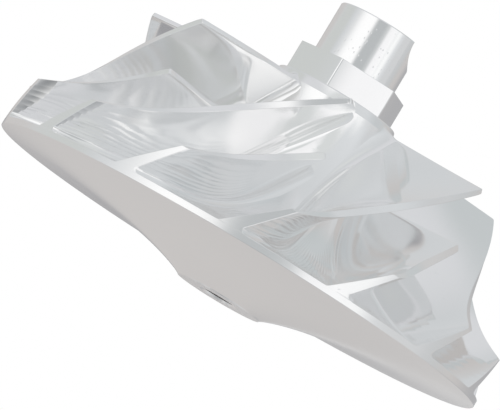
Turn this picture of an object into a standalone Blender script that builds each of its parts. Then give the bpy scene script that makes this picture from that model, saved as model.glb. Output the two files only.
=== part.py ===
"""Turbocharger compressor wheel, milled in one piece from aluminium.

Run with: blender --background --python part.py

The wheel's axis is Z, with the nose up. The origin is the middle of the round boss on its back.
It turns anticlockwise seen from the nose: a blade's leading edge is ahead of its foot at the rim.
Sizes below are in millimetres and angles in degrees. They become metres and radians where used.
"""

import math

import bmesh
import bpy
from mathutils import Matrix, Vector

MM = 0.001

# Disc and back
RIM_RADIUS = 48.0
RIM_EDGE = 1.23
RIM_BACK_Z = 6.40
BACK_PULL_RIM = (31.00, 5.60)
BACK_PULL_ROOT = (17.40, 3.90)
BACK_ROOT = (9.20, 0.58)
BACK_STEPS = 7
BOSS_RADIUS = 8.20
BOSS_EDGE = 0.15

# Blind hole for the shaft, in the boss
BORE_RADIUS = 3.5
BORE_EDGE = 0.35
BORE_DEPTH = 21.0
BORE_TIP = 2.3

# Hub, from the collar under the hexagon out to the rim
HUB_TOP = (12.20, 38.96)
HUB_PULL_TOP = (12.20, 21.00)
HUB_PULL_RIM = (22.50, 9.60)
HUB_STEPS = 12
COLLAR_RADIUS = 11.77
COLLAR_TOP_Z = 40.70
COLLAR_EDGE = 0.40
TURNED_STEPS = 84

# Hexagon, 19 mm across its flats, and the spigot above it with its balance cut
HEX_ACROSS_FLATS = 19.0
HEX_TOP_Z = 46.10
HEX_TURN = -15.2
SPIGOT_RADIUS = 8.0
SPIGOT_TOP_Z = 55.78
SPIGOT_EDGE = 0.20
SCOOP_RADIUS = 7.5
SCOOP_CENTRE = (13.95, 0.0, 55.58)
SCOOP_STEPS = 64

# Blades: the curve of their outer edge, and how far edge and foot turn around the axis
SHROUD_TOP = (36.02, 37.57)
SHROUD_PULL_TOP = (35.77, 20.23)
SHROUD_PULL_RIM = (43.96, 17.57)
SHROUD_RIM = (48.00, 15.44)
TIP_TURN = (0.0, -41.6, -43.3, -50.9)
FOOT_TURN = (9.1, -52.3, -37.8, -61.0)
PAIRS = 7
FIRST_BLADE = -86.6
BLADE_STEPS = 14
SPLITTER_START = 0.248
SPLITTER_STEPS = 10

# Blade thickness at its outer edge and its foot, and the round fillet along the foot.
# Pairs are for the inlet end and the rim end of a blade. The outer edge is thickest halfway.
TIP_THICK = (1.00, 0.80)
TIP_SWELL = 0.45
FOOT_THICK = (1.30, 2.70)
NOSE_THIN = 0.80
NOSE_LENGTH = 0.04
FILLET = (2.20, 0.90)
FILLET_LIMIT = 2.6
SUNK = 0.6

# Places along a blade, from 0 at its leading edge to 1 at the rim
RIM_BLEND = 0.8
BLADE_END = 0.998


def curve_point(ends, t):
    """A point, or a single value, at t along the cubic curve that four control points give."""
    weights = ((1 - t) ** 3, 3 * (1 - t) ** 2 * t, 3 * (1 - t) * t ** 2, t ** 3)
    if isinstance(ends[0], tuple):
        return tuple(sum(w * end[i] for w, end in zip(weights, ends)) for i in range(2))
    return sum(w * end for w, end in zip(weights, ends))


def between(pair, t):
    """A value on the way from the inlet end of a blade to its rim end."""
    return pair[0] + (pair[1] - pair[0]) * t


def hub_point(t):
    """Radius and height on the hub, from the collar at 0 to the rim at 1."""
    rim = (RIM_RADIUS, RIM_BACK_Z + RIM_EDGE)
    return curve_point((HUB_TOP, HUB_PULL_TOP, HUB_PULL_RIM, rim), t)


def shroud_point(t):
    """Radius and height on the blades' outer edge, from the inlet at 0 to the rim at 1."""
    return curve_point((SHROUD_TOP, SHROUD_PULL_TOP, SHROUD_PULL_RIM, SHROUD_RIM), t)


def back_outline():
    """The hollowed back from the rim in to the boss, and the blind hole in the boss."""
    rim = (RIM_RADIUS, RIM_BACK_Z)
    curve = [curve_point((rim, BACK_PULL_RIM, BACK_PULL_ROOT, BACK_ROOT), i / BACK_STEPS)
             for i in range(BACK_STEPS + 1)]
    boss = [(BOSS_RADIUS + BOSS_EDGE, BOSS_EDGE), (BOSS_RADIUS, 0.0)]
    bore = [(BORE_RADIUS + BORE_EDGE, 0.0), (BORE_RADIUS, BORE_EDGE),
            (BORE_RADIUS, BORE_DEPTH), (0.0, BORE_DEPTH + BORE_TIP)]
    return curve + boss + bore


def wheel_outline():
    """Half of the turned shape, from the top of the axis down the outer side and back in."""
    spigot = [(0.0, SPIGOT_TOP_Z), (SPIGOT_RADIUS - SPIGOT_EDGE, SPIGOT_TOP_Z),
              (SPIGOT_RADIUS, SPIGOT_TOP_Z - SPIGOT_EDGE), (SPIGOT_RADIUS, COLLAR_TOP_Z)]
    collar = [(COLLAR_RADIUS - COLLAR_EDGE, COLLAR_TOP_Z),
              (COLLAR_RADIUS, COLLAR_TOP_Z - COLLAR_EDGE)]
    hub = [hub_point(i / HUB_STEPS) for i in range(HUB_STEPS + 1)]
    return spigot + collar + hub + back_outline()


def link_mesh(name, bm, collection):
    """Turn a bmesh into a named object in a collection."""
    mesh = bpy.data.meshes.new(name)
    bm.to_mesh(mesh)
    bm.free()
    obj = bpy.data.objects.new(name, mesh)
    collection.objects.link(obj)
    return obj


def turned(name, outline, collection):
    """Turn an outline of radii and heights all the way around the Z axis."""
    bm = bmesh.new()
    verts = [bm.verts.new((r * MM, 0.0, z * MM)) for r, z in outline]
    for start, end in zip(verts, verts[1:]):
        bm.edges.new((start, end))
    obj = link_mesh(name, bm, collection)
    screw = obj.modifiers.new("turn", "SCREW")
    screw.axis = "Z"
    screw.steps = screw.render_steps = TURNED_STEPS
    screw.use_merge_vertices = True
    screw.merge_threshold = 0.00001
    screw.use_smooth_shade = True
    return obj


def polar(radius, height, angle):
    """A point in millimetres from its radius, height and angle in radians."""
    return Vector((radius * math.cos(angle), radius * math.sin(angle), height))


def camber(t, span):
    """Radius, height and angle on the middle surface of a blade: span 0 is the hub, 1 the edge."""
    foot_r, foot_z = hub_point(t)
    tip_r, tip_z = shroud_point(t)
    foot_turn = math.radians(curve_point(FOOT_TURN, t))
    tip_turn = math.radians(curve_point(TIP_TURN, t))
    return (foot_r + (tip_r - foot_r) * span, foot_z + (tip_z - foot_z) * span,
            foot_turn + (tip_turn - foot_turn) * span)


def edges_at(t, span):
    """At a point of the middle surface: its place, and unit vectors along the hub or edge curve,
    around the axis, up the blade, and the slope of the blade's line on that turned surface."""
    step = 0.004
    radius, height, angle = camber(t, span)
    before, after = camber(t - step, span), camber(t + step, span)
    run = math.hypot(after[0] - before[0], after[1] - before[1])
    slope = math.atan2(radius * (after[2] - before[2]), run)
    outward = Vector((math.cos(angle), math.sin(angle), 0.0))
    down = (outward * (after[0] - before[0]) + Vector((0, 0, after[1] - before[1]))) / run
    around = Vector((-math.sin(angle), math.cos(angle), 0.0))
    up = (polar(*camber(t, 1.0)) - polar(*camber(t, 0.0))).normalized()
    return down, around, up, slope, run / (2 * step)


def sideways(t, slope):
    """Direction across a blade on its turned surface, as parts along it and around the axis.
    It is square to the blade, and turns towards pure rotation at the rim."""
    square = Vector((-math.sin(slope), math.cos(slope)))
    near_rim = min(max((t - RIM_BLEND) / (1.0 - RIM_BLEND), 0.0), 1.0)
    across = square.lerp(Vector((0.0, 1.0)), near_rim).normalized()
    return across / across.dot(square)


def skin_point(t, span, offset):
    """A point of a blade's skin, at an offset from the middle on the same turned surface."""
    slope, per_t = edges_at(t, span)[3:]
    across = sideways(t, slope) * offset
    radius, height, _ = camber(max(t + across.x / per_t, 0.0), span)
    return polar(radius, height, camber(t, span)[2] + across.y / camber(t, span)[0])


def fillet(t, side):
    """Reach of the fillet from the corner, and the height and width of its middle point."""
    down, around, up, slope, _ = edges_at(t, 0.0)
    across = (around * math.cos(slope) - down * math.sin(slope)) * side
    half = across.angle(up) / 2
    reach = min(between(FILLET, t) / math.tan(half), FILLET_LIMIT)
    middle = reach * math.tan(half) * (1 / math.sin(half) - 1) / (2 * math.cos(half))
    return reach, middle


def side_points(t, start, side):
    """Span and offset of the points up one side of a blade, from inside the hub to its edge."""
    length = (polar(*camber(t, 1.0)) - polar(*camber(t, 0.0))).length
    nose = min((t - start) / NOSE_LENGTH, 1.0)
    thin = NOSE_THIN + (1.0 - NOSE_THIN) * math.sqrt(nose)
    foot = between(FOOT_THICK, t) / 2 * thin
    tip = (between(TIP_THICK, t) + TIP_SWELL * 4 * t * (1 - t)) / 2 * thin
    reach, middle = (size * thin for size in fillet(t, side))
    rows = [(-SUNK, foot + reach), (-SUNK / 5, foot + reach), (middle, foot + middle),
            (reach, foot), (length, tip)]
    return [(rise / length, width * side) for rise, width in rows]


def add_blade(bm, start, steps, turn):
    """Loft one blade from its leading edge at start to the rim, and close both ends."""
    rings = []
    spun = Matrix.Rotation(math.radians(turn), 3, "Z")
    for i in range(steps):
        t = start + (BLADE_END - start) * i / (steps - 1)
        section = side_points(t, start, 1) + side_points(t, start, -1)[::-1]
        ring = [skin_point(t, span, offset) for span, offset in section]
        rings.append([bm.verts.new(spun @ point * MM) for point in ring])
    for ring, following in zip(rings, rings[1:]):
        for i in range(len(ring)):
            j = (i + 1) % len(ring)
            bm.faces.new((ring[i], ring[j], following[j], following[i]))
    count = len(rings[0])
    for i in range(count // 2 - 1):
        first, last = rings[0], rings[-1]
        bm.faces.new((first[i + 1], first[i], first[count - 1 - i], first[count - 2 - i]))
        bm.faces.new((last[i], last[i + 1], last[count - 2 - i], last[count - 1 - i]))


def blade_row(name, start, steps, first_turn, collection):
    """A ring of like blades, as closed bodies that reach a little way into the hub."""
    bm = bmesh.new()
    for i in range(PAIRS):
        add_blade(bm, start, steps, first_turn + i * 360.0 / PAIRS)
    bmesh.ops.triangulate(bm, faces=bm.faces[:])
    bmesh.ops.recalc_face_normals(bm, faces=bm.faces[:])
    return link_mesh(name, bm, collection)


def hexagon(collection):
    """Six-sided nose that the wheel is held by when it is screwed to its shaft."""
    bm = bmesh.new()
    sunk = 1.0
    depth = HEX_TOP_Z - COLLAR_TOP_Z + sunk
    corner = HEX_ACROSS_FLATS / 2 / math.cos(math.pi / 6) * MM
    place = Matrix.Translation((0.0, 0.0, (HEX_TOP_Z - depth / 2) * MM))
    place = place @ Matrix.Rotation(math.radians(HEX_TURN), 4, "Z")
    bmesh.ops.create_cone(bm, cap_ends=True, segments=6, radius1=corner, radius2=corner,
                          depth=depth * MM, matrix=place)
    return link_mesh("hexagon", bm, collection)


def balance_scoop(collection):
    """Round cutter, lying across the wheel, that cuts the balancing scoop out of the spigot."""
    bm = bmesh.new()
    centre = Matrix.Translation(Vector(SCOOP_CENTRE) * MM)
    bmesh.ops.create_cone(bm, cap_ends=True, segments=SCOOP_STEPS, radius1=SCOOP_RADIUS * MM,
                          radius2=SCOOP_RADIUS * MM, depth=3 * SPIGOT_RADIUS * MM,
                          matrix=centre @ Matrix.Rotation(math.pi / 2, 4, "X"))
    return link_mesh("balance_scoop", bm, collection)


def join(obj, shape, operation):
    """Join a helper shape to the wheel, or cut it away, and keep the helper out of the build."""
    shape.hide_render = True
    shape.display_type = "WIRE"
    boolean = obj.modifiers.new(shape.name, "BOOLEAN")
    boolean.operation = operation
    boolean.solver = "EXACT"
    boolean.object = shape


def aluminium():
    """Bright milled aluminium."""
    material = bpy.data.materials.new("milled_aluminium")
    material.use_nodes = True
    shader = material.node_tree.nodes["Principled BSDF"]
    shader.inputs["Base Color"].default_value = (0.80, 0.80, 0.79, 1.0)
    shader.inputs["Metallic"].default_value = 1.0
    shader.inputs["Roughness"].default_value = 0.28
    return material


def clear_scene():
    """Remove whatever objects the file starts with."""
    for obj in list(bpy.data.objects):
        bpy.data.objects.remove(obj, do_unlink=True)


def new_collection(name):
    """A new collection in the scene."""
    collection = bpy.data.collections.new(name)
    bpy.context.scene.collection.children.link(collection)
    return collection


def main():
    clear_scene()
    part = new_collection("turbocharger_compressor_wheel")
    helpers = new_collection("shapes_joined_and_cut")
    wheel = turned("compressor_wheel", wheel_outline(), part)
    wheel.data.materials.append(aluminium())
    half_pitch = 180.0 / PAIRS
    full = blade_row("full_blades", 0.0, BLADE_STEPS, FIRST_BLADE, helpers)
    splitters = blade_row("splitter_blades", SPLITTER_START, SPLITTER_STEPS,
                          FIRST_BLADE + half_pitch, helpers)
    join(wheel, hexagon(helpers), "UNION")
    join(wheel, full, "UNION")
    join(wheel, splitters, "UNION")
    join(wheel, balance_scoop(helpers), "DIFFERENCE")


if __name__ == "__main__":
    main()
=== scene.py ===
"""Looks of a turbocharger compressor wheel: its finely shaped pieces, their metal and the stage.

The wheel's axis is Z with the nose up. Its origin is the middle of the round boss on its back.
Lengths are in metres and angles in radians, as Blender keeps them.
"""

import math

import bmesh
import bpy
from bpy.props import FloatProperty, FloatVectorProperty, IntProperty, PointerProperty
from mathutils import Matrix, Vector


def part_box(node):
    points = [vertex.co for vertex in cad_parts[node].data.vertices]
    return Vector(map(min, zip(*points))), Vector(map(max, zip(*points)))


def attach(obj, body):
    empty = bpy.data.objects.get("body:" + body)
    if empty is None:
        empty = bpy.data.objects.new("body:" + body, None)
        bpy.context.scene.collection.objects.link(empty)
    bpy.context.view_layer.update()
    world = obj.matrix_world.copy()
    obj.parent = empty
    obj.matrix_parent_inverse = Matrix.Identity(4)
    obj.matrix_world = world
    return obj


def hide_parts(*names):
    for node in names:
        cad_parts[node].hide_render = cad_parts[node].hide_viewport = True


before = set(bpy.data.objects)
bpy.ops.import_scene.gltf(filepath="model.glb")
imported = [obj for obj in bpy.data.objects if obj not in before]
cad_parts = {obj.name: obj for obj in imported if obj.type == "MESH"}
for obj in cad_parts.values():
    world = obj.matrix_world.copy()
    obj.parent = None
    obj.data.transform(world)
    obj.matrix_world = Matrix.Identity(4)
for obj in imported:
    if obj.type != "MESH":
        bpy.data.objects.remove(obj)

bl_info = {
    "name": "Turbocharger compressor wheel",
    "version": (1, 0, 0),
    "blender": (4, 5, 0),
    "location": "3D View > Sidebar > Compressor wheel",
    "description": "Builds a milled aluminium compressor wheel and the stage that it is shown on",
    "category": "Add Mesh",
}

NODE = "compressor_wheel"
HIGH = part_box(NODE)[1]

# Fineness of the meshes
TURNED_STEPS = 252
HUB_STEPS = 64
BACK_STEPS = 32
COLLAR_STEPS = 4
NOSE_COLUMNS = 5
FULL_COLUMNS = 64
SPLITTER_COLUMNS = 48
BURIED_ROWS = 1
FILLET_ROWS = 9
FLANK_ROWS = 12
CORNER_ROWS = 6
RIM_CUTS = 7
SCOOP_STEPS = 256
HEXAGON_CORNER_STEPS = 5
BREAK_STEPS = 2

# Points closer than this are one
MERGE = 1e-7
# How far a piece reaches into the one that carries it
OVERLAP = 0.001
# How far the disc's rim stays inside the ends of the blades
RIM_CLEARANCE = 0.000003

# Edges at a greater angle than this are broken with a narrow bevel
BROKEN = math.radians(40)
# Edges at a greater angle than this stay sharp when a piece is shaded smooth
SHARP = math.radians(16)

# A ray deeper than this is the last one of a reflection that the renderer follows
DEEP_BOUNCE = 4.5


def kind_of_property(make, **settings):
    """A short way to declare a kind of property by its name, description and default."""
    def declare(name, description, default, **more):
        return make(name=name, description=description, default=default, **{**settings, **more})
    return declare


def degrees(*angles):
    """Angles in degrees as the radians that Blender keeps."""
    return tuple(math.radians(angle) for angle in angles)


length = kind_of_property(FloatProperty, unit="LENGTH", precision=5)
# A radius and a height, or a size at the inlet and one at the rim
pair = kind_of_property(FloatVectorProperty, size=2, unit="LENGTH", precision=5)
turn = kind_of_property(FloatProperty, unit="ROTATION")
# Four angles that a turning curve passes through or is pulled towards
turns = kind_of_property(FloatVectorProperty, size=4, unit="ROTATION")
share = kind_of_property(FloatProperty, min=0.0, max=1.0)
count = kind_of_property(IntProperty, min=2)
paint = kind_of_property(FloatVectorProperty, subtype="COLOR")


class WheelSizes(bpy.types.PropertyGroup):
    """Disc, hub, back and boss."""
    rim_radius: length("Rim radius", "Outer radius of the disc", HIGH.x)
    rim_edge: length("Rim edge", "Thickness of the disc at its rim", 0.00123)
    rim_back: length("Rim back", "Height of the rim's back edge above the boss's face", 0.0064)
    back_pull_rim: pair("Back pull, rim", "Pulls the hollow back's curve near the rim",
                        (0.031, 0.0056))
    back_pull_root: pair("Back pull, root", "Pulls the hollow back's curve near the boss",
                         (0.0174, 0.0039))
    back_root: pair("Back root", "Where the hollow back runs into the boss", (0.0092, 0.00058))
    boss_radius: length("Boss radius", "Radius of the boss's face", 0.0082)
    boss_edge: length("Boss edge", "Chamfer around the boss's face", 0.00015)
    bore_radius: length("Hole radius", "Radius of the shaft hole", 0.0035)
    bore_edge: length("Hole edge", "Chamfer on the mouth of the shaft hole", 0.00035)
    bore_depth: length("Hole depth", "Depth of the shaft hole to its cone", 0.021)
    bore_tip: length("Hole tip", "Height of the cone that the drill leaves", 0.0023)
    hub_top: pair("Hub top", "Where the hub begins under the collar", (0.0122, 0.03896))
    hub_pull_top: pair("Hub pull, top", "Pulls the hub's curve near the nose", (0.0122, 0.021))
    hub_pull_rim: pair("Hub pull, rim", "Pulls the hub's curve near the rim", (0.0225, 0.0096))
    collar_radius: length("Collar radius", "Radius of the collar under the hexagon", 0.01177)
    collar_top: length("Collar top", "Height of the collar's face", 0.0407)
    collar_edge: length("Collar edge", "Rounding of the collar's rim", 0.0004)


class NoseSizes(bpy.types.PropertyGroup):
    """Hexagon and spigot."""
    across_flats: length("Across flats", "Width of the hexagon from flat to flat", 0.019)
    hexagon_top: length("Hexagon top", "Height of the hexagon's face", 0.0461)
    hexagon_turn: turn("Hexagon turn", "How far the hexagon is turned", math.radians(-15.2))
    corner_width: length("Corner width", "Width of the rounding on the hexagon's corners", 0.0005)
    spigot_radius: length("Spigot radius", "Radius of the spigot", 0.008)
    spigot_edge: length("Spigot edge", "Chamfer on the spigot's end", 0.0002)
    scoop_radius: length("Scoop radius", "Radius of the cutter that balanced the wheel", 0.0075)
    scoop_reach: length("Scoop reach", "How far the cutter's middle was from the axis", 0.01395)
    scoop_height: length("Scoop height", "Height of the cutter's middle", 0.05558)


class BladeSizes(bpy.types.PropertyGroup):
    """Both rows of blades."""
    pairs: count("Pairs", "Number of full blades, and of splitters", 7)
    first: turn("First blade", "Angle of the first leading edge", math.radians(-86.6))
    shroud_top: pair("Edge top", "Tip of the leading edge", (0.03602, 0.03757))
    shroud_pull_top: pair("Edge pull, top", "Pulls the outer edge near the inlet",
                          (0.03577, 0.02023))
    shroud_pull_rim: pair("Edge pull, rim", "Pulls the outer edge near the rim",
                          (0.04396, 0.01757))
    shroud_rim: length("Edge at rim", "Height of the outer edge at the rim", 0.01544)
    tip_turn: turns("Turn of the edge", "How the outer edge turns around the axis",
                    degrees(0.0, -41.6, -43.3, -50.9))
    foot_turn: turns("Turn of the foot", "How the foot turns around the axis",
                     degrees(9.1, -52.3, -37.8, -61.0))
    splitter_start: share("Splitter start", "Where splitters begin along a full blade",
                          0.248, min=0.05, max=0.8)
    tip: pair("Edge thickness", "Of the outer edge, at the inlet and the rim", (0.0010, 0.0008))
    tip_swell: length("Edge swell", "How much thicker the outer edge is halfway", 0.00045)
    foot: pair("Foot thickness", "Of the blade's foot, at the inlet and the rim",
               (0.0013, 0.0027))
    fillet: pair("Fillet radius", "Along the foot, at the inlet and the rim", (0.0022, 0.0009))
    fillet_reach: length("Fillet reach", "Furthest that a fillet may reach", 0.0026)
    fillet_ahead: length("Fillet ahead", "Furthest that it may reach ahead of a nose", 0.0003)
    nose_length: length("Nose length", "How far back a leading edge is thinned", 0.0014)
    nose_flat: share("Nose flat", "Share of the thickness left in front", 0.8, min=0.1)
    tip_corner: length("Tip corner", "Rounding where the leading edge meets the outer edge",
                       0.0003)
    edge_break: length("Edge break", "Width of the broken edges on all pieces", 0.00007)


class Finish(bpy.types.PropertyGroup):
    """Colours, gloss and tool marks of the metal."""
    metal: paint("Aluminium", "Colour of the bare metal", (0.955, 0.955, 0.955))
    worn_metal: paint("Dull aluminium", "Colour in scratches and dull patches",
                      (0.86, 0.865, 0.87))
    # Painted shade: this darker colour on the crests stands in for the shade lines that the
    # cutter's ridges show
    crest_shade: paint("Crests of the cuts", "Colour on the crests between cutter passes",
                       (0.66, 0.67, 0.68))
    # Painted shade: the wall of the shaft hole is coloured darker than the metal, for the shade
    # inside it
    shaded_bore_metal: paint("Aluminium in the hole", "Colour inside the shaft hole",
                      (0.62, 0.61, 0.60))
    deep_light: paint("Deep reflections", "Light that stands for reflections too deep to follow",
                      (0.58, 0.58, 0.58))
    hub_gloss: share("Hub roughness", "Roughness of the milled hub", 0.05)
    flank_gloss: share("Flank roughness", "Roughness of the blades' milled flanks", 0.06)
    turned_gloss: share("Turned roughness", "Roughness of turned faces", 0.15)
    nose_gloss: share("Nose roughness", "Roughness of the hexagon and the spigot", 0.08)
    bore_gloss: share("Hole roughness", "Roughness inside the shaft hole", 0.3)
    worn_gloss: share("Added by wear", "Roughness that scratches and nicks add", 0.18)
    hub_passes: count("Hub passes", "Cutter passes on the hub between two blades", 15)
    hub_cusp: length("Hub cusp", "Height of the ridges between cutter passes at the rim",
                     0.00004)
    # How much of that painted shade on the crests shows near the rim
    crest_shade_share: share("Crest share", "How much of the crests' colour shows near the rim", 0.4)
    flank_passes: count("Flank passes", "Cutter passes from a blade's foot to its edge", 8)
    flank_cusp: length("Flank cusp", "Height of the waves that those passes leave", 0.000011)
    turning_pitch: length("Turning pitch", "Distance between the lathe's fine rings", 0.00012)
    turning_depth: length("Turning depth", "Depth of those rings", 0.0000002)
    thread_pitch: length("Thread pitch", "Distance between the grooves in the hole", 0.001)
    thread_depth: length("Thread depth", "Depth of those grooves", 0.00005)
    feed_depth: length("Feed depth", "Depth of the fine marks on the hexagon", 0.0000012)
    scuff_depth: length("Scuff depth", "Depth of the scuffs beside its corners", 0.000002)
    fleck_depth: length("Fleck depth", "Depth of the nicks in the spigot", 0.000018)


class StageSizes(bpy.types.PropertyGroup):
    """Camera and floor."""
    elevation: turn("Elevation", "Camera's height as an angle", math.radians(-5.3296))
    roll: turn("Roll", "How far the camera is tipped sideways", math.radians(31.0367))
    distance: length("Distance", "From the rim's middle to the camera", 1.04819)
    aim_right: length("Aim right", "How far right of the rim's middle the camera aims", -0.00355)
    aim_up: length("Aim up", "How far above the rim's middle the camera aims", 0.01039)
    lens: FloatProperty(name="Lens", description="Focal length", default=432.15, unit="CAMERA")
    floor_size: length("Floor size", "Width of the floor", 8.0)
    floor_colour: paint("Floor", "Colour of the floor", (0.95, 0.95, 0.94))


def curve_point(ends, t):
    """A value or a point at t along the cubic curve of four control points."""
    weights = ((1 - t) ** 3, 3 * (1 - t) ** 2 * t, 3 * (1 - t) * t ** 2, t ** 3)
    total = ends[0] * weights[0]
    for weight, end in zip(weights[1:], ends[1:]):
        total = total + end * weight
    return total


def between(ends, t):
    """A size on the way from the inlet to the rim."""
    return ends[0] + (ends[1] - ends[0]) * t


def polar(radius, height, angle):
    """A point from its radius, height and angle."""
    return Vector((radius * math.cos(angle), radius * math.sin(angle), height))


class Curves:
    """The hub's and the blades' curves, worked out from the panel's sizes."""

    def __init__(self, scene):
        wheel, blades = scene.wheel_sizes, scene.blade_sizes
        hub_rim = Vector((wheel.rim_radius, wheel.rim_back + wheel.rim_edge))
        hub = (wheel.hub_top, wheel.hub_pull_top, wheel.hub_pull_rim, hub_rim)
        self.hub = [Vector(end) for end in hub]
        shroud_rim = Vector((wheel.rim_radius, blades.shroud_rim))
        shroud = (blades.shroud_top, blades.shroud_pull_top, blades.shroud_pull_rim, shroud_rim)
        self.shroud = [Vector(end) for end in shroud]
        self.tip_turn = list(blades.tip_turn)
        self.foot_turn = list(blades.foot_turn)
        self.collar_top = Vector((wheel.collar_radius, wheel.collar_top - wheel.collar_edge))

    def hub_point(self, t):
        """Radius and height on the hub. Before 0 it runs up the side of the collar."""
        if t >= 0.0:
            return curve_point(self.hub, t)
        # A cubic curve starts with three times its first leg for each unit of t
        climb = 3 * (self.hub[0] - self.hub[1]).length * -t
        side = self.collar_top - self.hub[0]
        return self.hub[0] + side * min(climb / side.length, 1.0)

    def camber(self, t, span):
        """Radius, height and angle on a blade's middle surface: span 0 is the hub, 1 the edge."""
        foot, tip = self.hub_point(t), curve_point(self.shroud, t)
        foot_turn, tip_turn = curve_point(self.foot_turn, t), curve_point(self.tip_turn, t)
        radius, height = foot.lerp(tip, span)
        return radius, height, foot_turn + (tip_turn - foot_turn) * span

    def edges(self, t, span):
        """Unit vectors down the blade's line, around the axis and up the blade, the slope of that
        line on its turned surface, and the run of the surface for each unit of t."""
        step = 0.004
        radius, height, angle = self.camber(t, span)
        before, after = self.camber(t - step, span), self.camber(t + step, span)
        run = math.hypot(after[0] - before[0], after[1] - before[1])
        slope = math.atan2(radius * (after[2] - before[2]), run)
        outward = Vector((math.cos(angle), math.sin(angle), 0.0))
        down = (outward * (after[0] - before[0]) + Vector((0, 0, after[1] - before[1]))) / run
        around = Vector((-math.sin(angle), math.cos(angle), 0.0))
        up = (polar(*self.camber(t, 1.0)) - polar(*self.camber(t, 0.0))).normalized()
        return down, around, up, slope, run / (2 * step)


class BladeForm:
    """The skin of one kind of blade, for a grid of columns from the nose to the rim and rows
    from below the hub's surface up to the outer edge."""
    # Where along the blade its thickness begins to turn towards pure rotation
    rim_blend = 0.8
    # How deep the lowest row and the fillet's outer end lie in the hub
    buried = 0.0006
    dip = 0.00005
    # How far the buried points stay inside the rim
    rim_dive = 0.00001
    # Angle from straight ahead that the fillet faces at the front of the nose
    front_turn = math.radians(30)

    def __init__(self, scene, start, columns):
        self.curves = Curves(scene)
        self.sizes = scene.blade_sizes
        self.start = start
        self.columns = columns
        self.rows = BURIED_ROWS + FILLET_ROWS + FLANK_ROWS + CORNER_ROWS

    def sideways(self, t, slope):
        """Direction across the blade on its turned surface, as parts along it and around the
        axis. It is square to the blade, and turns towards pure rotation at the rim."""
        square = Vector((-math.sin(slope), math.cos(slope)))
        near_rim = min(max((t - self.rim_blend) / (1.0 - self.rim_blend), 0.0), 1.0)
        across = square.lerp(Vector((0.0, 1.0)), near_rim).normalized()
        return across / across.dot(square)

    def fillet(self, t, side):
        """Reach of the fillet from the corner, and how strongly its arc is pulled there."""
        down, around, up, slope, _ = self.curves.edges(t, 0.0)
        across = (around * math.cos(slope) - down * math.sin(slope)) * side
        half = across.angle(up) / 2
        radius = between(self.sizes.fillet, t)
        return min(radius / math.tan(half), self.sizes.fillet_reach), math.sin(half)

    def row(self, t, side, index):
        """Height above the hub of one row, as a share of the blade's, half the thickness of the
        blade there, and how far the fillet stands out of its side."""
        full = (polar(*self.curves.camber(t, 1.0)) - polar(*self.curves.camber(t, 0.0))).length
        foot = between(self.sizes.foot, t) / 2
        reach, pull = self.fillet(t, side)
        if index < BURIED_ROWS:
            return -self.buried / full, foot, reach
        if index < BURIED_ROWS + FILLET_ROWS:
            s = 1 - (index - BURIED_ROWS) / FILLET_ROWS
            weights = (1 - s) ** 2, 2 * s * (1 - s) * pull, s * s
            rise, width = (reach * weights[i] / sum(weights) for i in (0, 2))
            return (rise - self.dip * s) / full, foot, width
        corner = self.sizes.tip_corner
        flank = min((index - BURIED_ROWS - FILLET_ROWS) / FLANK_ROWS, 1.0)
        rise = reach + (full - corner - reach) * flank + corner * math.sin(self.corner_turn(index))
        up = (rise - reach) / (full - reach)
        tip = between(self.sizes.tip, t) / 2
        tip += self.sizes.tip_swell * 2 * t * (1 - t)
        return rise / full, foot + (tip - foot) * up, 0.0

    def corner_turn(self, index):
        """How far round the rounded corner of the tip a row lies."""
        return math.pi / 2 * max(index - self.rows + CORNER_ROWS, 0) / CORNER_ROWS

    def skin(self, column, index, side):
        """Point of the skin at a column and a row, on one side of the blade."""
        sizes, curves = self.sizes, self.curves
        span_guess = max((index - BURIED_ROWS - FILLET_ROWS) / (FLANK_ROWS + CORNER_ROWS), 0.0)
        slope, per_t = curves.edges(self.start, span_guess)[3:]
        set_back = sizes.tip_corner * (1 - math.cos(self.corner_turn(index)))
        nose_start = self.start + set_back * math.cos(slope) / per_t
        nose_end = nose_start + sizes.nose_length * math.cos(slope) / per_t
        if column <= NOSE_COLUMNS:
            round_nose = math.pi / 2 * column / NOSE_COLUMNS
            t = nose_start + (nose_end - nose_start) * (1 - math.cos(round_nose))
            thin = sizes.nose_flat + (1 - sizes.nose_flat) * math.sin(round_nose)
            facing = self.front_turn + (math.pi / 2 - self.front_turn) * column / NOSE_COLUMNS
        else:
            past_nose = (column - NOSE_COLUMNS) / (self.columns - NOSE_COLUMNS)
            t = nose_end + (1.0 - nose_end) * past_nose
            thin, facing = 1.0, math.pi / 2
        span, half, fillet = self.row(t, side, index)
        slope, per_t = curves.edges(t, span)[3:]
        across = self.sideways(t, slope) * (half * thin + fillet * math.sin(facing)) * side
        ahead = min(fillet, sizes.fillet_ahead) * math.cos(facing)
        run = across.x - ahead * math.cos(slope)
        around = across.y - ahead * math.sin(slope)
        radius, height, angle = curves.camber(t, span)
        radius_there, height_there, _ = curves.camber(t + run / per_t, span)
        return polar(radius_there, height_there, angle + around / radius)


def face_outward(bm):
    """Turn all faces of a closed mesh outward. Recalculating alone can leave a thin, strongly
    curved shell inside out as a whole."""
    bmesh.ops.recalc_face_normals(bm, faces=bm.faces[:])
    if bm.calc_volume(signed=True) < 0.0:
        bmesh.ops.reverse_faces(bm, faces=bm.faces[:])


def wheel_collection():
    """The collection that holds the wheel's pieces."""
    name = "turbocharger_compressor_wheel"
    found = bpy.data.collections.get(name)
    if found is None:
        found = bpy.data.collections.new(name)
        bpy.context.scene.collection.children.link(found)
    return found


def new_object(name, bm, collection):
    """An object with the mesh of a bmesh, which is used up."""
    mesh = bpy.data.meshes.new(name)
    bm.to_mesh(mesh)
    bm.free()
    made = bpy.data.objects.new(name, mesh)
    collection.objects.link(made)
    return made


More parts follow.
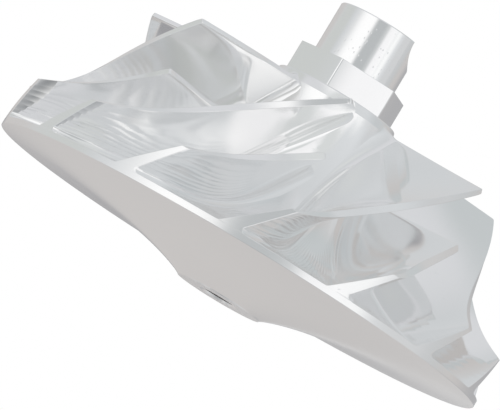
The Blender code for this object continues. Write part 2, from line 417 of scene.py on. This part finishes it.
def link_piece(name, bm, finishes):
    """Make a piece from a bmesh. It is smooth, keeps its sharp edges, has a material slot for
    each finish and rides on the wheel."""
    face_outward(bm)
    piece = new_object(name, bm, wheel_collection())
    piece.data.shade_smooth()
    piece.data.set_sharp_from_angle(angle=SHARP)
    for finish in finishes:
        piece.data.materials.append(kept_material(finish))
    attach(piece, "root")
    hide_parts(NODE)
    return piece


def spin_outline(bm, outline, values=None):
    """Turn an outline of radii and heights all the way around Z, and close its ends. Values are
    kept on its points under their names, and go round with them."""
    layers = {name: bm.verts.layers.float.new(name) for name in values or {}}
    verts = [bm.verts.new((r, 0.0, z)) for r, z in outline]
    for name, layer in layers.items():
        for vert, value in zip(verts, values[name]):
            vert[layer] = value
    edges = [bm.edges.new(pair) for pair in zip(verts, verts[1:])]
    bmesh.ops.spin(bm, geom=verts + edges, cent=(0, 0, 0), axis=(0, 0, 1), dvec=(0, 0, 0),
                   angle=math.tau, steps=TURNED_STEPS, use_merge=True, use_duplicate=False)
    bmesh.ops.remove_doubles(bm, verts=bm.verts[:], dist=MERGE)


def round_edges(bm, edges, width, steps, clamp):
    """Round edges with a bevel that reaches a width to each side of them."""
    bmesh.ops.bevel(bm, geom=edges, offset=width, offset_type="OFFSET", segments=steps,
                    profile=0.5, affect="EDGES", clamp_overlap=clamp, material=-1)


def break_edges(bm, width, edges):
    """Break those of the edges that are sharp with a narrow rounded bevel."""
    sharp = [edge for edge in edges if edge.is_manifold and edge.calc_face_angle() > BROKEN]
    round_edges(bm, sharp, width, BREAK_STEPS, False)


class Net:
    """Short ways to put nodes into a tree."""

    def __init__(self, tree):
        self.tree = tree

    def link(self, value, socket):
        """Set a socket to a number, a colour or a vector, or link another socket to it."""
        if isinstance(value, bpy.types.NodeSocket):
            self.tree.links.new(value, socket)
        else:
            socket.default_value = value

    def node(self, kind, inputs=None, **settings):
        """A node with its settings, and its inputs by name or place."""
        node = self.tree.nodes.new(kind)
        for name, value in settings.items():
            setattr(node, name, value)
        for name, value in (inputs or {}).items():
            self.link(value, node.inputs[name])
        return node

    def math(self, operation, *values):
        node = self.node("ShaderNodeMath", dict(enumerate(values)), operation=operation)
        return node.outputs["Value"]

    def plus(self, first, *others):
        for other in others:
            first = self.math("ADD", first, other)
        return first

    def minus(self, first, second):
        return self.math("SUBTRACT", first, second)

    def times(self, first, *others):
        for other in others:
            first = self.math("MULTIPLY", first, other)
        return first

    def vector(self, operation, *values):
        node = self.node("ShaderNodeVectorMath", dict(enumerate(values)), operation=operation)
        return node.outputs["Value" if operation in ("DOT_PRODUCT", "LENGTH") else "Vector"]

    def stretched(self, point, scale):
        """Coordinates with a scale for each direction."""
        return self.vector("MULTIPLY", point, scale)

    def remap(self, value, low, high, new_low=0.0, new_high=1.0, smooth=False):
        """Value moved from one range to another, and kept inside it."""
        inputs = {"Value": value, "From Min": low, "From Max": high, "To Min": new_low,
                  "To Max": new_high}
        node = self.node("ShaderNodeMapRange", inputs,
                         interpolation_type="SMOOTHSTEP" if smooth else "LINEAR")
        return node.outputs["Result"]

    def apart(self, vector):
        """The X, Y and Z of a vector."""
        return self.node("ShaderNodeSeparateXYZ", {"Vector": vector}).outputs

    def attribute(self, name):
        return self.node("ShaderNodeAttribute", attribute_name=name).outputs["Fac"]

    def noise(self, point, scale, detail=2.0):
        inputs = {"Vector": point, "Scale": scale, "Detail": detail}
        return self.node("ShaderNodeTexNoise", inputs).outputs["Fac"]

    def mix(self, share, first, second):
        """Blend of two colours."""
        node = self.node("ShaderNodeMix", data_type="RGBA")
        for name, value in (("Factor_Float", share), ("A_Color", first), ("B_Color", second)):
            socket = next(s for s in node.inputs if s.identifier == name)
            if name != "Factor_Float" and not isinstance(value, bpy.types.NodeSocket):
                value = (*value, 1.0)
            self.link(value, socket)
        return next(s for s in node.outputs if s.identifier == "Result_Color")


def new_group(name, vectors, values, results):
    """An empty node group with named sockets: itself, its Net and its two ends."""
    group = bpy.data.node_groups.new(name, "ShaderNodeTree")
    for sockets, direction, kind in ((vectors, "INPUT", "Vector"), (values, "INPUT", "Float"),
                                     (results, "OUTPUT", "Float")):
        for socket in sockets:
            group.interface.new_socket(socket, in_out=direction, socket_type="NodeSocket" + kind)
    return (group, Net(group), group.nodes.new("NodeGroupInput").outputs,
            group.nodes.new("NodeGroupOutput").inputs)


def shared_group(build):
    """The node group that a function builds under its own name, built only once."""
    return bpy.data.node_groups.get(build.__name__) or build(build.__name__)


def tool_passes(name):
    """Ridges that are left between the passes of a round-nosed cutter, and their crests."""
    group, net, start, end = new_group(name, ("Point",), ("Passes", "Wander", "Cusp"),
                                       ("Height", "Crest"))
    wander = net.times(net.noise(start["Point"], scale=60.0), start["Wander"])
    wave = net.math("SINE", net.times(net.plus(start["Passes"], wander), math.pi))
    ridge = net.minus(1.0, net.math("ABSOLUTE", wave))
    lowest, highest = 0.5, 1.3
    uneven = net.remap(net.noise(start["Point"], scale=140.0), 0.3, 0.7, lowest, highest)
    net.link(net.times(ridge, uneven, start["Cusp"]), end["Height"])
    # The crest is the upper part of a ridge
    net.link(net.times(net.remap(ridge, 0.55, 0.9), uneven), end["Crest"])
    return group


def scratches(name):
    """Fine scratches along two directions, as a mask. Density says how many there are to a metre
    along each axis."""
    group, net, start, end = new_group(name, ("Point", "Density"), ("Amount",), ("Mask",))
    crossing = 0.7
    turned = net.node("ShaderNodeVectorRotate", {"Vector": start["Point"], "Angle": crossing},
                      rotation_type="Z_AXIS").outputs["Vector"]
    # Noise above this level is a scratch: few spots reach the first level, and many the second
    level = net.remap(start["Amount"], 0.0, 1.0, 0.80, 0.58)
    soft_level = net.plus(level, 0.04)
    masks = []
    for point in (start["Point"], turned):
        lines = net.noise(net.stretched(point, start["Density"]), scale=1.0, detail=3.0)
        masks.append(net.remap(lines, level, soft_level))
    net.link(net.math("MAXIMUM", *masks), end["Mask"])
    return group


def flecks(name):
    """Small nicks and specks, as a mask. Amount is the share of the cells that hold one."""
    group, net, start, end = new_group(name, ("Point",), ("Scale", "Amount"), ("Mask",))
    cells = net.node("ShaderNodeTexVoronoi", {"Vector": start["Point"], "Scale": start["Scale"]})
    draw = net.node("ShaderNodeSeparateColor", {"Color": cells.outputs["Color"]}).outputs["Red"]
    chosen = net.math("LESS_THAN", draw, start["Amount"])
    # Distances from the middle of its cell where a fleck begins to fade and ends
    near = net.remap(cells.outputs["Distance"], 0.10, 0.28, 1.0, 0.0, smooth=True)
    net.link(net.times(chosen, near), end["Mask"])
    return group


def lathe_rings(name):
    """Fine rings and slow waves that turning leaves."""
    group, net, start, end = new_group(name, ("Point",), ("Distance", "Pitch", "Depth"),
                                       ("Height",))
    # Slow waves for each ring, and the heights of the waves and of the unevenness beside a ring's
    slowness, slow_height, uneven_height = 0.043, 2.0, 1.5
    phase = net.times(net.math("DIVIDE", start["Distance"], start["Pitch"]), math.tau)
    slow = net.math("SINE", net.times(phase, slowness))
    uneven = net.noise(start["Point"], scale=300.0)
    height = net.plus(net.math("SINE", phase), net.times(slow, slow_height),
                      net.times(uneven, uneven_height))
    net.link(net.times(height, start["Depth"]), end["Height"])
    return group


class Metal:
    """One finish of the aluminium: a Principled BSDF and the net that feeds it."""

    def __init__(self, name, scene):
        self.material = bpy.data.materials.new(name)
        self.material.use_nodes = True
        self.net = net = Net(self.material.node_tree)
        self.shader = self.material.node_tree.nodes["Principled BSDF"]
        self.scene = scene
        self.marks = scene.wheel_finish
        self.point = net.node("ShaderNodeTexCoord").outputs["Object"]
        self.axes = net.apart(self.point)
        # Mask of soft duller patches
        self.dull = net.remap(net.noise(self.point, scale=90.0, detail=4.0), 0.35, 0.75)
        # Light only where a reflection would otherwise end black
        depth = net.node("ShaderNodeLightPath").outputs["Ray Depth"]
        deep = net.math("GREATER_THAN", depth, DEEP_BOUNCE)
        light = net.mix(deep, (0, 0, 0), tuple(self.marks.deep_light))
        for socket, value in (("Metallic", 1.0), ("Emission Color", light),
                              ("Emission Strength", 1.0)):
            net.link(value, self.shader.inputs[socket])

    def radius(self):
        """Distance from the wheel's axis."""
        return self.net.vector("LENGTH", self.net.stretched(self.point, (1, 1, 0)))

    def angle(self):
        return self.net.math("ARCTAN2", self.axes["Y"], self.axes["X"])

    def effect(self, build, **inputs):
        """The outputs of a shared group that is given these inputs."""
        inputs = {"Point": self.point, **inputs}
        return self.net.node("ShaderNodeGroup", inputs, node_tree=shared_group(build)).outputs

    def finished(self, gloss, worn, height, colour=None, dulling=0.05):
        """Set the colour, the gloss and the relief from a roughness, a mask of wear and a height.
        Dulling is the roughness that the soft patches add."""
        net, shader = self.net, self.shader
        base = net.mix(worn, colour or tuple(self.marks.metal), tuple(self.marks.worn_metal))
        net.link(base, shader.inputs["Base Color"])
        rough = net.plus(gloss, net.times(self.dull, dulling),
                         net.times(worn, self.marks.worn_gloss))
        net.link(rough, shader.inputs["Roughness"])
        bump = net.node("ShaderNodeBump", {"Height": height, "Distance": 1.0})
        net.link(bump.outputs["Normal"], shader.inputs["Normal"])
        return self.material


def kept_material(finish):
    """The material that a finish makes under its own name, made only once."""
    name = finish.__name__
    return bpy.data.materials.get(name) or finish(Metal(name, bpy.context.scene))


def milled_hub(metal):
    """Hub: ridges of the cutter's passes fan out between the blades, deeper near the rim, and
    their crests carry painted shade lines.
    """
    net, marks, blades = metal.net, metal.marks, metal.scene.blade_sizes
    turned = net.minus(net.minus(metal.angle(), net.attribute("blade_turn")), blades.first)
    turned = net.math("FLOORED_MODULO", turned, math.pi / blades.pairs)
    across_lane = net.math("DIVIDE", net.minus(turned, net.attribute("lane_start")),
                           net.attribute("lane_width"))
    # Radii where the ridges begin to grow, show all of the painted shade on their crests and are
    # full
    inner, shade_full, outer = 0.016, 0.034, 0.044
    radius = metal.radius()
    cusp = net.times(net.remap(radius, inner, outer, 0.03, 1.0), marks.hub_cusp)
    ridges = metal.effect(tool_passes, Passes=net.times(across_lane, marks.hub_passes),
                          Wander=0.6, Cusp=cusp)
    worn = metal.effect(scratches, Density=(2200, 2200, 160), Amount=0.25)
    # Painted shade lines along the crests of the ridges, growing towards the rim
    lines = net.times(ridges["Crest"], net.remap(radius, inner, shade_full), marks.crest_shade_share)
    colour = net.mix(lines, tuple(marks.metal), tuple(marks.crest_shade))
    return metal.finished(marks.hub_gloss, worn["Mask"], ridges["Height"], colour)


def milled_flank(metal):
    """Blades: soft waves of the cutter's passes along the flanks, most of them near the rim."""
    net, marks = metal.net, metal.marks
    # Shares of the blade: how far up it a point is, from foot to edge, and how far along it
    up = net.attribute("up")
    near_rim = net.remap(net.attribute("along"), 0.45, 1.0, 0.08, 1.0)
    below_edge = net.remap(up, 0.70, 0.92, 1.0, 0.0)
    cusp = net.times(near_rim, near_rim, below_edge, marks.flank_cusp)
    waves = metal.effect(tool_passes, Passes=net.times(up, marks.flank_passes), Wander=0.3,
                         Cusp=cusp)
    worn = metal.effect(scratches, Density=(260, 1900, 1900), Amount=0.2)
    return metal.finished(marks.flank_gloss, worn["Mask"], waves["Height"])


def turned_aluminium(metal):
    """Back, boss, rim and the blades' outer edges: fine rings from the lathe."""
    net, marks = metal.net, metal.marks
    rings = metal.effect(lathe_rings, Distance=net.plus(metal.radius(), metal.axes["Z"]),
                         Pitch=marks.turning_pitch, Depth=marks.turning_depth)
    worn = metal.effect(scratches, Density=(1300, 1300, 1300), Amount=0.2)
    return metal.finished(marks.turned_gloss, worn["Mask"], rings["Height"], dulling=0.04)


def bore_wall(metal):
    """Shaft hole: a duller wall with the fine grooves of its thread, coloured darker as painted
    shade.
    """
    marks = metal.marks
    rings = metal.effect(lathe_rings, Distance=metal.axes["Z"], Pitch=marks.thread_pitch,
                         Depth=marks.thread_depth)
    # The hole's darker colour is painted shade
    return metal.finished(marks.bore_gloss, metal.dull, rings["Height"], tuple(marks.shaded_bore_metal))


def milled_hexagon(metal):
    """Hexagon: fine milled faces, scuffed beside the corners where a socket has gripped them."""
    net, marks, turn_there = metal.net, metal.marks, metal.scene.nose_sizes.hexagon_turn
    sixth = net.math("DIVIDE", net.minus(metal.angle(), turn_there), math.pi / 3)
    # From 0 at a corner to 0.5 in the middle of a flat
    from_corner = net.math("PINGPONG", net.plus(sixth, 0.5), 0.5)
    scuffed = net.remap(from_corner, 0.0, 0.16, 1.0, 0.1)
    scuffs = metal.effect(scratches, Density=(3000, 3000, 90), Amount=scuffed)["Mask"]
    feed = net.noise(net.stretched(metal.point, (1, 1, 12)), scale=300.0, detail=3.0)
    height = net.minus(net.times(feed, marks.feed_depth), net.times(scuffs, marks.scuff_depth))
    return metal.finished(marks.nose_gloss, scuffs, height, dulling=0.03)


def turned_spigot(metal):
    """Spigot: a bright turned face with small nicks and flecks, more of them near its foot."""
    net, marks = metal.net, metal.marks
    rings = metal.effect(lathe_rings, Distance=metal.axes["Z"], Pitch=marks.turning_pitch,
                         Depth=marks.turning_depth)
    # Heights between which the nicks grow fewer
    foot, end = 0.0475, 0.0550
    amount = net.remap(metal.axes["Z"], end, foot, 0.08, 0.45)
    nicks = metal.effect(flecks, Point=net.stretched(metal.point, (1.0, 1.0, 0.6)),
                         Scale=2100.0, Amount=amount)["Mask"]
    height = net.minus(rings["Height"], net.times(nicks, marks.fleck_depth))
    return metal.finished(marks.nose_gloss, net.times(nicks, 0.5), height, dulling=0.03)


def hub_lanes(scene, along):
    """Where the lanes between the blades' fillets run on the hub: the turn of the blades' line,
    and how far after it a lane starts and how wide it is, all as angles around the axis."""
    form = BladeForm(scene, 0.0, FULL_COLUMNS)
    sizes, pitch = scene.blade_sizes, math.pi / scene.blade_sizes.pairs
    lanes = {"blade_turn": [], "lane_start": [], "lane_width": []}
    for t in along:
        slope = form.curves.edges(t, 0.0)[3]
        reach = form.curves.hub_point(t).x * math.cos(slope)
        foot = between(sizes.foot, t) / 2
        start, end = ((foot + form.fillet(t, side)[0]) / reach for side in (1, -1))
        lanes["blade_turn"].append(curve_point(form.curves.foot_turn, t))
        lanes["lane_start"].append(start)
        lanes["lane_width"].append(pitch - start - end)
    return lanes


class WHEEL_OT_turned_body(bpy.types.Operator):
    """Turn the disc, the hub with its collar, the hollow back and the boss with its hole"""
    bl_idname = "wheel.turned_body"
    bl_label = "Disc, hub and back"

    def execute(self, context):
        sizes, curves = context.scene.wheel_sizes, Curves(context.scene)
        edge = context.scene.blade_sizes.edge_break
        collar = [(0.0, sizes.collar_top)]
        for i in range(COLLAR_STEPS + 1):
            round_rim = math.pi / 2 * i / COLLAR_STEPS
            collar.append((sizes.collar_radius + sizes.collar_edge * (math.sin(round_rim) - 1),
                           sizes.collar_top + sizes.collar_edge * (math.cos(round_rim) - 1)))
        hub = [tuple(curves.hub_point(i / HUB_STEPS)) for i in range(HUB_STEPS)]
        rim, low = sizes.rim_radius - RIM_CLEARANCE, sizes.rim_back
        high = low + sizes.rim_edge
        disc = [(rim - edge, high), (rim, high - edge), (rim, low + edge), (rim - edge, low)]
        back_ends = [Vector((sizes.rim_radius, low)), Vector(sizes.back_pull_rim),
                     Vector(sizes.back_pull_root), Vector(sizes.back_root)]
        back = [tuple(curve_point(back_ends, i / BACK_STEPS)) for i in range(1, BACK_STEPS + 1)]
        boss = [(sizes.boss_radius + sizes.boss_edge, sizes.boss_edge), (sizes.boss_radius, 0.0)]
        bore = [(sizes.bore_radius + sizes.bore_edge, 0.0), (sizes.bore_radius, sizes.bore_edge),
                (sizes.bore_radius, sizes.bore_depth),
                (0.0, sizes.bore_depth + sizes.bore_tip)]
        outline = collar + hub + disc + back + boss + bore
        along = [0.0] * len(collar) + [i / HUB_STEPS for i in range(HUB_STEPS)]
        along += [1.0] * (len(outline) - len(along))
        bm = bmesh.new()
        spin_outline(bm, outline, hub_lanes(context.scene, along))
        finishes = (milled_hub, turned_aluminium, bore_wall)
        for face in bm.faces:
            centre = face.calc_center_median()
            if centre.xy.length < sizes.bore_radius and centre.z < sizes.collar_top / 2:
                face.material_index = finishes.index(bore_wall)
            elif centre.z < high - edge / 4 or centre.z > sizes.collar_top - edge:
                face.material_index = finishes.index(turned_aluminium)
        link_piece("turned_body", bm, finishes)
        return {"FINISHED"}


def blade_mesh(form, sizes):
    """One blade as a closed skin: a grid of a unit's width, extruded to its other side and laid
    on the form."""
    bm = bmesh.new()
    along = bm.verts.layers.float.new("along")
    up = bm.verts.layers.float.new("up")
    # The grid reaches half a unit to each side, and near is a quarter of a column
    half, near = 0.5, 0.25 / form.columns
    bmesh.ops.create_grid(bm, x_segments=form.columns, y_segments=form.rows, size=half)
    far_side = bmesh.ops.extrude_face_region(bm, geom=bm.faces[:])["geom"]
    bmesh.ops.translate(bm, vec=(0, 0, 1),
                        verts=[part for part in far_side if isinstance(part, bmesh.types.BMVert)])
    across_rim = [edge for edge in bm.edges
                  if min(vert.co.x for vert in edge.verts) > half - near
                  and abs(edge.verts[0].co.z - edge.verts[1].co.z) > half]
    for face in bm.faces:
        at_end = max(min(vert.co[axis] for vert in face.verts) for axis in range(2))
        face.material_index = int(at_end > half - near)
    for vert in bm.verts:
        column = round((vert.co.x + half) * form.columns)
        row = round((vert.co.y + half) * form.rows)
        side = 1 if vert.co.z > half else -1
        vert[along] = form.start + (1 - form.start) * column / form.columns
        vert[up] = form.row(vert[along], side, row)[0]
        vert.co = form.skin(column, row, side)
    bmesh.ops.subdivide_edges(bm, edges=across_rim, cuts=RIM_CUTS, use_grid_fill=True)
    for vert in bm.verts:
        if vert[along] > 1.0 - near:
            depth = form.rim_dive if vert[up] < 0.0 else 0.0
            vert.co.xy = vert.co.xy.normalized() * (form.curves.hub[-1].x - depth)
    face_outward(bm)
    break_edges(bm, sizes.edge_break, [edge for edge in bm.edges
                                       if max(vert[up] for vert in edge.verts) >= 0.0])
    return bm


def add_blades(context, name, start, columns, first):
    """A ring of like blades, each a piece of its own."""
    sizes = context.scene.blade_sizes
    bm = blade_mesh(BladeForm(context.scene, start, columns), sizes)
    for i in range(sizes.pairs):
        copy = bm.copy()
        place_there = Matrix.Rotation(first + i * math.tau / sizes.pairs, 3, "Z")
        bmesh.ops.rotate(copy, cent=(0, 0, 0), matrix=place_there, verts=copy.verts[:])
        link_piece(f"{name}_{i + 1}", copy, (milled_flank, turned_aluminium))
    bm.free()


class WHEEL_OT_full_blades(bpy.types.Operator):
    """Mill the full blades, from the inlet to the rim"""
    bl_idname = "wheel.full_blades"
    bl_label = "Full blades"

    def execute(self, context):
        add_blades(context, "full_blade", 0.0, FULL_COLUMNS, context.scene.blade_sizes.first)
        return {"FINISHED"}


class WHEEL_OT_splitter_blades(bpy.types.Operator):
    """Mill the splitter blades, one between each two full blades"""
    bl_idname = "wheel.splitter_blades"
    bl_label = "Splitter blades"

    def execute(self, context):
        sizes = context.scene.blade_sizes
        add_blades(context, "splitter_blade", sizes.splitter_start, SPLITTER_COLUMNS,
                   sizes.first + math.pi / sizes.pairs)
        return {"FINISHED"}


class WHEEL_OT_hexagon(bpy.types.Operator):
    """Mill the hexagon of the nose and round its corners"""
    bl_idname = "wheel.hexagon"
    bl_label = "Hexagon"

    def execute(self, context):
        nose = context.scene.nose_sizes
        bm = bmesh.new()
        foot = context.scene.wheel_sizes.collar_top - OVERLAP
        depth = nose.hexagon_top - foot
        corner = nose.across_flats / 2 / math.cos(math.pi / 6)
        centre = Matrix.Translation((0, 0, foot + depth / 2))
        bmesh.ops.create_cone(bm, cap_ends=True, segments=6, radius1=corner, radius2=corner,
                              depth=depth,
                              matrix=centre @ Matrix.Rotation(nose.hexagon_turn, 4, "Z"))
        upright = [e for e in bm.edges if abs((e.verts[0].co - e.verts[1].co).z) > depth / 2]
        round_edges(bm, upright, nose.corner_width / 2, HEXAGON_CORNER_STEPS, True)
        break_edges(bm, context.scene.blade_sizes.edge_break, bm.edges[:])
        link_piece("hexagon", bm, (milled_hexagon,))
        return {"FINISHED"}


class WHEEL_OT_spigot(bpy.types.Operator):
    """Turn the spigot above the hexagon and cut its balancing scoop"""
    bl_idname = "wheel.spigot"
    bl_label = "Spigot"

    def execute(self, context):
        nose = context.scene.nose_sizes
        radius, top, edge = nose.spigot_radius, HIGH.z, nose.spigot_edge
        bm = bmesh.new()
        foot = nose.hexagon_top - OVERLAP
        spin_outline(bm, [(0.0, top), (radius - edge, top), (radius, top - edge),
                          (radius, foot), (0.0, foot)])
        cut_scoop(link_piece("spigot", bm, (turned_spigot,)), nose)
        return {"FINISHED"}


def cut_scoop(spigot, nose):
    """Cut the hollow that a round cutter left in the spigot's side, and keep it in the mesh."""
    bm = bmesh.new()
    centre = Matrix.Translation((nose.scoop_reach, 0, nose.scoop_height))
    bmesh.ops.create_cone(bm, cap_ends=True, segments=SCOOP_STEPS, radius1=nose.scoop_radius,
                          radius2=nose.scoop_radius, depth=3 * nose.spigot_radius,
                          matrix=centre @ Matrix.Rotation(math.pi / 2, 4, "X"))
    cutter = new_object("scoop_cutter", bm, bpy.context.scene.collection)
    cutter.data.shade_smooth()
    cut = spigot.modifiers.new("scoop", "BOOLEAN")
    cut.operation = "DIFFERENCE"
    cut.solver = "EXACT"
    cut.object = cutter
    graph = bpy.context.evaluated_depsgraph_get()
    spigot_mesh = bpy.data.meshes.new_from_object(spigot.evaluated_get(graph))
    spigot.modifiers.clear()
    spigot.data = spigot_mesh
    spigot_mesh.set_sharp_from_angle(angle=SHARP)
    bpy.data.objects.remove(cutter, do_unlink=True)


class WHEEL_OT_stage(bpy.types.Operator):
    """Set the floor, the soft light and the camera"""
    bl_idname = "wheel.stage"
    bl_label = "Stage"

    def execute(self, context):
        facing = add_camera(context.scene, context.scene.stage_sizes)
        add_floor(context.scene.stage_sizes)
        add_surroundings(context.scene, facing)
        context.scene.view_settings.view_transform = "Standard"
        return {"FINISHED"}


def add_camera(scene, stage):
    """Camera that sees the wheel as the photograph does, from just below its rim. Returns the
    directions to its right, above it and behind it."""
    e, roll = stage.elevation, stage.roll
    back = Vector((0, -math.cos(e), math.sin(e)))
    right, up = Vector((1, 0, 0)), Vector((0, math.sin(e), math.cos(e)))
    across = right * math.cos(roll) + up * math.sin(roll)
    upward = up * math.cos(roll) - right * math.sin(roll)
    rim_middle = Vector((0, 0, scene.wheel_sizes.rim_back))
    spot = rim_middle + right * stage.aim_right + up * stage.aim_up + back * stage.distance
    data = bpy.data.cameras.new("camera")
    data.sensor_width = 36
    data.lens = stage.lens
    data.clip_end = 100
    camera = bpy.data.objects.new("camera", data)
    facing = Matrix((across, upward, back)).transposed().to_4x4()
    camera.matrix_world = Matrix.Translation(spot) @ facing
    scene.collection.objects.link(camera)
    scene.camera = camera
    return across, upward, back


def add_floor(stage):
    """Pale floor under the boss. It is seen from above only, so the camera can look from below."""
    bm = bmesh.new()
    bmesh.ops.create_grid(bm, x_segments=1, y_segments=1, size=stage.floor_size / 2)
    floor = new_object("floor", bm, bpy.context.scene.collection)
    material = bpy.data.materials.new("floor_paint")
    material.use_nodes = True
    nodes, net = material.node_tree.nodes, Net(material.node_tree)
    shader = nodes["Principled BSDF"]
    shader.inputs["Base Color"].default_value = (*stage.floor_colour, 1.0)
    shader.inputs["Roughness"].default_value = 0.6
    from_below = net.node("ShaderNodeNewGeometry").outputs["Backfacing"]
    clear = net.node("ShaderNodeBsdfTransparent").outputs["BSDF"]
    seen = net.node("ShaderNodeMixShader",
                    {"Fac": from_below, 1: shader.outputs["BSDF"], 2: clear})
    net.link(seen.outputs["Shader"], nodes["Material Output"].inputs["Surface"])
    floor.data.materials.append(material)
    floor.visible_diffuse = floor.visible_glossy = False
    floor.visible_transmission = floor.visible_shadow = False


def soft_box(name):
    """How much of a direction lies inside a soft-edged panel of light."""
    group, net, start, end = new_group(name, ("Direction", "Across", "Upward", "Toward"),
                                       ("Half Width", "Half Height", "Softness"), ("Mask",))
    parts = [net.vector("DOT_PRODUCT", start["Direction"], start[axis])
             for axis in ("Across", "Upward", "Toward")]
    angles = net.math("ARCTAN2", parts[0], parts[2]), net.math("ARCSINE", parts[1])
    inside = []
    for angle, half in zip(angles, ("Half Width", "Half Height")):
        low = net.minus(start[half], start["Softness"])
        high = net.plus(start[half], start["Softness"])
        inside.append(net.remap(net.math("ABSOLUTE", angle), low, high, 1.0, 0.0, smooth=True))
    net.link(net.times(*inside), end["Mask"])
    return group


# Colours of the room straight below and straight above, as the tipped camera sees it
ROOM_COLOURS = ((0.80, 0.82, 0.84), (0.60, 0.62, 0.634))

# Panels and shades around the wheel: name, degrees right of the camera and above it as seen
# from the wheel, half width and half height in degrees, softness of the edge, and colour
PANELS = (
    ("behind_below", 177, -29, 75, 54, 21.4, (0.59, 0.57, 0.56)),
    ("lower_right", 95, -10, 12.5, 21, 16.7, (0.52, 0.56, 0.58)),
    ("below", 0, -85, 89, 11.8, 8.9, (0.59, 0.60, 0.61)),
    ("beside_left_panel", -87, 57, 27.5, 11.6, 5.2, (0.27, 0.27, 0.26)),
    ("left_panel", -14, 26, 37, 22.3, 19.6, (1.04, 1.04, 1.04)),
    ("left_panel_foot", -16, 1, 25.4, 5.3, 16, (0.41, 0.41, 0.40)),
    ("around_camera", 19, -14, 25, 48.6, 3, (0.96, 0.96, 0.97)),
    ("camera_shade", 10, 13, 15.8, 17, 4.9, (0.50, 0.52, 0.53)),
    ("right_of_camera", 32, 26, 12.9, 24.3, 4.3, (0.69, 0.71, 0.71)),
    ("lower_panel", 47, -17, 9.8, 4.5, 7.5, (1.17, 1.17, 1.16)),
    ("left_shade", -66, -41, 18.5, 21.5, 21, (0.16, 0.17, 0.18)),
    ("low_left_panel", -86, -39, 3, 21, 8.1, (0.90, 0.89, 0.88)),
    ("right_rear", 159, -25, 20, 31.5, 16, (0.44, 0.44, 0.45)),
    ("above", 34, 86, 41, 21.5, 14.5, (0.69, 0.70, 0.72)),
    ("left_slot", -63, -19, 3.4, 34.3, 8.2, (1.05, 1.05, 1.04)),
    ("right_far", 139, 23, 12.7, 27, 7.1, (0.56, 0.59, 0.60)),
    ("far_left", -107, 47, 18.9, 19.7, 7.2, (0.60, 0.62, 0.61)),
    ("low_middle", 64, -43, 26.4, 23, 2.5, (0.65, 0.66, 0.67)),
)

# Two strips straight behind the wheel, which its hollow back mirrors: a shade, and below it a
# bright glint. They are placed by the parts of a direction's unit vector. A pair says where a
# strip begins and where it is full, and SHADE_X where the shade's colours blend.
BEHIND_Y = (0.96, 0.98)
SHADE_Z = (-0.085, -0.055)
SHADE_X = (-0.03, 0.05)
SHADE_COLOURS = ((0.37, 0.37, 0.385), (0.48, 0.48, 0.49))
GLINT_Z = -0.095
GLINT_EDGE = (0.025, 0.005)
GLINT_X = (0.0, 0.045)
GLINT_COLOUR = (0.80, 0.80, 0.80)


def add_surroundings(scene, facing):
    """Pale studio with soft panels of light and shade. The camera itself sees plain white."""
    world = bpy.data.worlds.new("pale_studio")
    scene.world = world
    world.use_nodes = True
    net = Net(world.node_tree)
    direction = net.node("ShaderNodeTexCoord").outputs["Generated"]
    across, upward, back = facing
    height = net.vector("DOT_PRODUCT", direction, upward)
    level = net.mix(net.remap(height, -1.0, 1.0), *ROOM_COLOURS)
    for name, right, above, half_width, half_height, softness, colour in PANELS:
        lon, lat = math.radians(right), math.radians(above)
        toward = back * math.cos(lon) + across * math.sin(lon)
        panel = {"Direction": direction,
                 "Across": across * math.cos(lon) - back * math.sin(lon),
                 "Upward": upward * math.cos(lat) - toward * math.sin(lat),
                 "Toward": toward * math.cos(lat) + upward * math.sin(lat),
                 "Half Width": math.radians(half_width), "Half Height": math.radians(half_height),
                 "Softness": math.radians(softness)}
        box = net.node("ShaderNodeGroup", panel, node_tree=shared_group(soft_box), label=name)
        level = net.mix(box.outputs["Mask"], level, colour)
    axes = net.apart(direction)
    behind = net.remap(axes["Y"], *BEHIND_Y)
    shade = net.mix(net.remap(axes["X"], *SHADE_X), *SHADE_COLOURS)
    level = net.mix(net.times(behind, net.remap(axes["Z"], *SHADE_Z)), level, shade)
    off_glint = net.math("ABSOLUTE", net.minus(axes["Z"], GLINT_Z))
    glint = net.times(behind, net.remap(off_glint, *GLINT_EDGE), net.remap(axes["X"], *GLINT_X))
    level = net.mix(glint, level, GLINT_COLOUR)
    seen = net.node("ShaderNodeLightPath").outputs["Is Camera Ray"]
    background = world.node_tree.nodes["Background"]
    net.link(net.mix(seen, level, (1, 1, 1)), background.inputs["Color"])


PIECES = (WHEEL_OT_turned_body, WHEEL_OT_full_blades, WHEEL_OT_splitter_blades,
          WHEEL_OT_hexagon, WHEEL_OT_spigot, WHEEL_OT_stage)


class WHEEL_PT_pieces(bpy.types.Panel):
    """Lists what builds the wheel"""
    bl_idname = "WHEEL_PT_pieces"
    bl_label = "Compressor wheel"
    bl_space_type = "VIEW_3D"
    bl_region_type = "UI"
    bl_category = "Compressor wheel"

    def draw(self, context):
        for operator in PIECES:
            self.layout.operator(operator.bl_idname)


GROUPS = {"wheel_sizes": WheelSizes, "nose_sizes": NoseSizes, "blade_sizes": BladeSizes,
          "wheel_finish": Finish, "stage_sizes": StageSizes}
CLASSES = (*GROUPS.values(), *PIECES, WHEEL_PT_pieces)


def register():
    for cls in CLASSES:
        bpy.utils.register_class(cls)
    for name, group in GROUPS.items():
        setattr(bpy.types.Scene, name, PointerProperty(type=group))


def unregister():
    for name in GROUPS:
        delattr(bpy.types.Scene, name)
    for cls in reversed(CLASSES):
        bpy.utils.unregister_class(cls)


def main():
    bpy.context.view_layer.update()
    register()
    bpy.ops.wheel.turned_body()
    bpy.ops.wheel.full_blades()
    bpy.ops.wheel.splitter_blades()
    bpy.ops.wheel.hexagon()
    bpy.ops.wheel.spigot()
    bpy.ops.wheel.stage()


if __name__ == "__main__":
    main()
